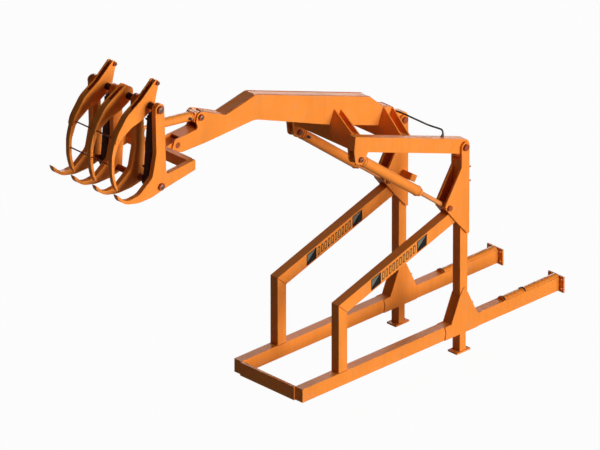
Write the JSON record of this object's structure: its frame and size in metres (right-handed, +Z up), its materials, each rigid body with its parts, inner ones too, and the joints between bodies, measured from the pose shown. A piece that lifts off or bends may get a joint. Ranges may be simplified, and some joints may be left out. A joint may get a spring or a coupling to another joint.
{
  "type": "sugarcane loader",
  "caption": "Front loader attachment with a tractor-embracing chassis, hydraulic boom and a curved claw grab for gathering and lifting sugarcane.",
  "frame": {"origin": "midway between the rear faces of the two bolting flanges, at mid height of the side rails", "axes": "+X forward to the grab, +Y to the machine's left, +Z up"},
  "size_m": [4.1706, 0.74, 2.953],
  "materials": {
    "orange_paint": "semi-gloss orange machine paint",
    "painted_pins": "orange paint worn at the edges",
    "dark_paint": "black paint",
    "rod_chrome": "polished hard chrome"
  },
  "bodies": {
    "chassis": {"rail_left": "orange_paint", "rail_right": "orange_paint", "rear_flange_left": "orange_paint", "rear_flange_right": "orange_paint", "front_post_left": "orange_paint", "front_post_right": "orange_paint", "brace_left": "orange_paint", "brace_right": "orange_paint", "upright_left": "orange_paint", "upright_right": "orange_paint", "foot_left": "orange_paint", "foot_right": "orange_paint", "base_gusset_left": "orange_paint", "base_gusset_right": "orange_paint", "tower_plate_outer_left": "orange_paint", "tower_plate_outer_right": "orange_paint", "tower_plate_inner_left": "orange_paint", "tower_plate_inner_right": "orange_paint", "rail_pipe_left": "orange_paint", "rail_pipe_right": "orange_paint", "front_cross_plate": "orange_paint", "tower_bracket": "orange_paint", "boom_pivot_pins": "painted_pins", "lift_lower_pins": "painted_pins", "tower_studs": "painted_pins"},
    "boom": {"boom_arm_left": "orange_paint", "boom_arm_right": "orange_paint", "fork_pins": "painted_pins", "front_bulkhead": "orange_paint", "rear_bulkhead": "orange_paint", "boom_side_left": "orange_paint", "boom_side_right": "orange_paint", "boom_top_cover": "orange_paint", "boom_lower_covers": "orange_paint", "tilt_pin": "painted_pins", "nose_pin": "painted_pins"},
    "grab": {"lower_claw_outer_left": "orange_paint", "lower_claw_inner_left": "orange_paint", "lower_claw_inner_right": "orange_paint", "lower_claw_outer_right": "orange_paint", "grab_cross_beam": "orange_paint", "tilt_cross_bar": "orange_paint", "tilt_lug_pins": "painted_pins", "claw_shaft": "dark_paint", "lower_shaft": "painted_pins"},
    "upper_claws": {"upper_claw_left": "orange_paint", "upper_claw_middle": "orange_paint", "upper_claw_right": "orange_paint", "claw_cross_rods": "painted_pins", "horn_pins": "painted_pins"},
    "lift_barrel_left": {"lift_barrel_left": "orange_paint"},
    "lift_rod_left": {"lift_rod_left": "rod_chrome"},
    "lift_barrel_right": {"lift_barrel_right": "orange_paint"},
    "lift_rod_right": {"lift_rod_right": "rod_chrome"},
    "tilt_barrel": {"tilt_barrel": "orange_paint"},
    "tilt_rod": {"tilt_rod": "rod_chrome"},
    "clamp_barrel_left": {"clamp_barrel_left": "dark_paint"},
    "clamp_rod_left": {"clamp_rod_left": "rod_chrome"},
    "clamp_barrel_right": {"clamp_barrel_right": "dark_paint"},
    "clamp_rod_right": {"clamp_rod_right": "rod_chrome"}
  },
  "joints": [
    {"name": "boom_lift", "type": "hinge", "parent": "chassis", "child": "boom", "pos_m": [0.931, 0, 1.353], "axis": [0, -1, 0], "range_deg": [-30, 16]},
    {"name": "grab_tilt", "type": "hinge", "parent": "boom", "child": "grab", "pos_m": [3.34667, 0, 2.08962], "axis": [0, -1, 0], "range_deg": [-35, 15]},
    {"name": "claw_clamp", "type": "hinge", "parent": "grab", "child": "upper_claws", "pos_m": [3.776, 0, 2.595], "axis": [0, -1, 0], "range_deg": [0, 60]},
    {"name": "lift_left_swing", "type": "hinge", "parent": "boom", "child": "lift_barrel_left", "pos_m": [1.90647, 0.295, 1.58811], "axis": [0, -1, 0], "range_deg": [-1.3, 2.45]},
    {"name": "lift_left_stroke", "type": "slide", "parent": "lift_barrel_left", "child": "lift_rod_left", "axis": [-0.7888, 0, -0.6146], "range_m": [-0.22395, 0.11949]},
    {"name": "lift_right_swing", "type": "hinge", "parent": "boom", "child": "lift_barrel_right", "pos_m": [1.90647, -0.295, 1.58811], "axis": [0, -1, 0], "range_deg": [-1.3, 2.45]},
    {"name": "lift_right_stroke", "type": "slide", "parent": "lift_barrel_right", "child": "lift_rod_right", "axis": [-0.7888, 0, -0.6146], "range_m": [-0.22395, 0.11949]},
    {"name": "tilt_swing", "type": "hinge", "parent": "boom", "child": "tilt_barrel", "pos_m": [3.13474, 0, 2.22674], "axis": [0, -1, 0], "range_deg": [-22.65, 9.71]},
    {"name": "tilt_stroke", "type": "slide", "parent": "tilt_barrel", "child": "tilt_rod", "axis": [0.9903, 0, 0.1392], "range_m": [-0.03798, 0.08848]},
    {"name": "clamp_left_swing", "type": "hinge", "parent": "grab", "child": "clamp_barrel_left", "pos_m": [3.768, 0.205, 2.025], "axis": [0, -1, 0], "range_deg": [0, 10.33]},
    {"name": "clamp_left_stroke", "type": "slide", "parent": "clamp_barrel_left", "child": "clamp_rod_left", "axis": [-0.0855, 0, 0.9963], "range_m": [-0.10799, 0.0001]},
    {"name": "clamp_right_swing", "type": "hinge", "parent": "grab", "child": "clamp_barrel_right", "pos_m": [3.768, -0.205, 2.025], "axis": [0, -1, 0], "range_deg": [0, 10.33]},
    {"name": "clamp_right_stroke", "type": "slide", "parent": "clamp_barrel_right", "child": "clamp_rod_right", "axis": [-0.0855, 0, 0.9963], "range_m": [-0.10799, 0.0001]}
  ],
  "couplings": [
    {"joint": "lift_left_swing", "follows": "boom_lift", "ratio": -0.079903},
    {"joint": "lift_left_stroke", "follows": "boom_lift", "m_per_rad": 0.41914},
    {"joint": "lift_right_swing", "follows": "boom_lift", "ratio": -0.079903},
    {"joint": "lift_right_stroke", "follows": "boom_lift", "m_per_rad": 0.41914},
    {"joint": "tilt_swing", "follows": "grab_tilt", "ratio": 0.6344},
    {"joint": "tilt_stroke", "follows": "grab_tilt", "m_per_rad": -0.14184},
    {"joint": "clamp_left_swing", "follows": "claw_clamp", "ratio": 0.16875},
    {"joint": "clamp_left_stroke", "follows": "claw_clamp", "m_per_rad": -0.10101},
    {"joint": "clamp_right_swing", "follows": "claw_clamp", "ratio": 0.16875},
    {"joint": "clamp_right_stroke", "follows": "claw_clamp", "m_per_rad": -0.10101}
  ]
}
